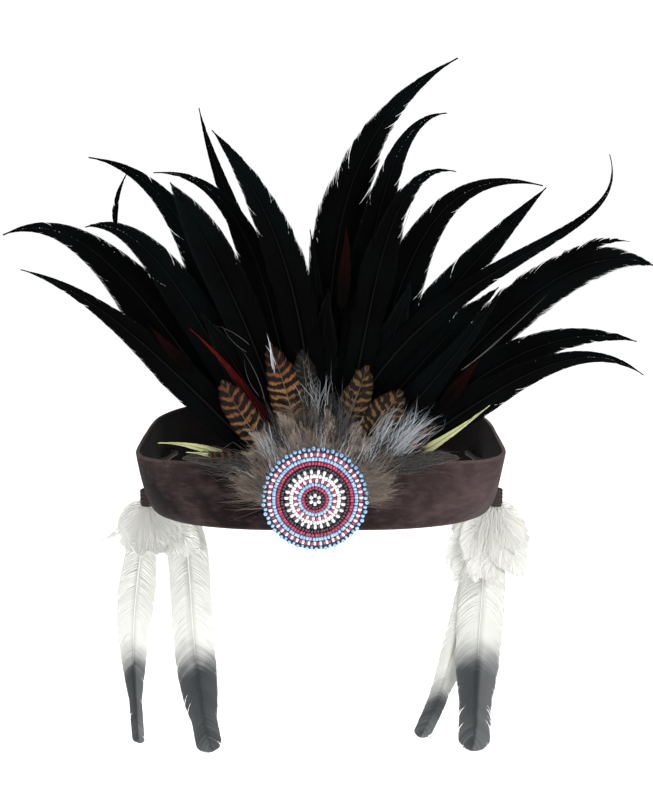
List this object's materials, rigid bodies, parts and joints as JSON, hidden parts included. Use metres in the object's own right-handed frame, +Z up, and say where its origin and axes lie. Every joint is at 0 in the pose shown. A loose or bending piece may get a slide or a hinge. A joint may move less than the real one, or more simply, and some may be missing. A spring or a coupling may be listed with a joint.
{
  "type": "feathered headdress",
  "caption": "Suede headband with a fan of black tail feathers and barred plumes behind a beaded front rosette, and white feathers laced at both sides.",
  "frame": {"origin": "middle of the head opening, level with the band's lower rim", "axes": "+X to the right as seen from in front, -Y out of the front of the band, +Z up"},
  "size_m": [0.3297, 0.214, 0.4035],
  "materials": {
    "suede": "dark brown suede with a short nap",
    "rosette_leather": "dark navy leather",
    "seed_beads": "opaque glossy glass seed beads in red, white, black and light blue",
    "black_feather": "glossy black tail feather",
    "barred_feather": "brown and tan barred feather with grey brown down",
    "cream_feather": "pale cream green hackle",
    "red_feather": "dark red hackle",
    "lace_leather": "dark brown leather lace",
    "white_feather": "soft white feather with grey dipped tips and white down"
  },
  "bodies": {
    "root": {"headband": "suede", "rosette_backing": "rosette_leather", "rosette_beadwork": "seed_beads", "tail_feathers_back": "black_feather", "tail_feathers_middle": "black_feather", "tail_feathers_front": "black_feather", "barred_plume": "barred_feather", "cream_feather_left": "cream_feather", "cream_feather_right": "cream_feather", "red_hackle": "red_feather", "lace_left": "lace_leather", "lace_right": "lace_leather", "white_plume_left": "white_feather", "white_plume_right": "white_feather"}
  },
  "joints": []
}
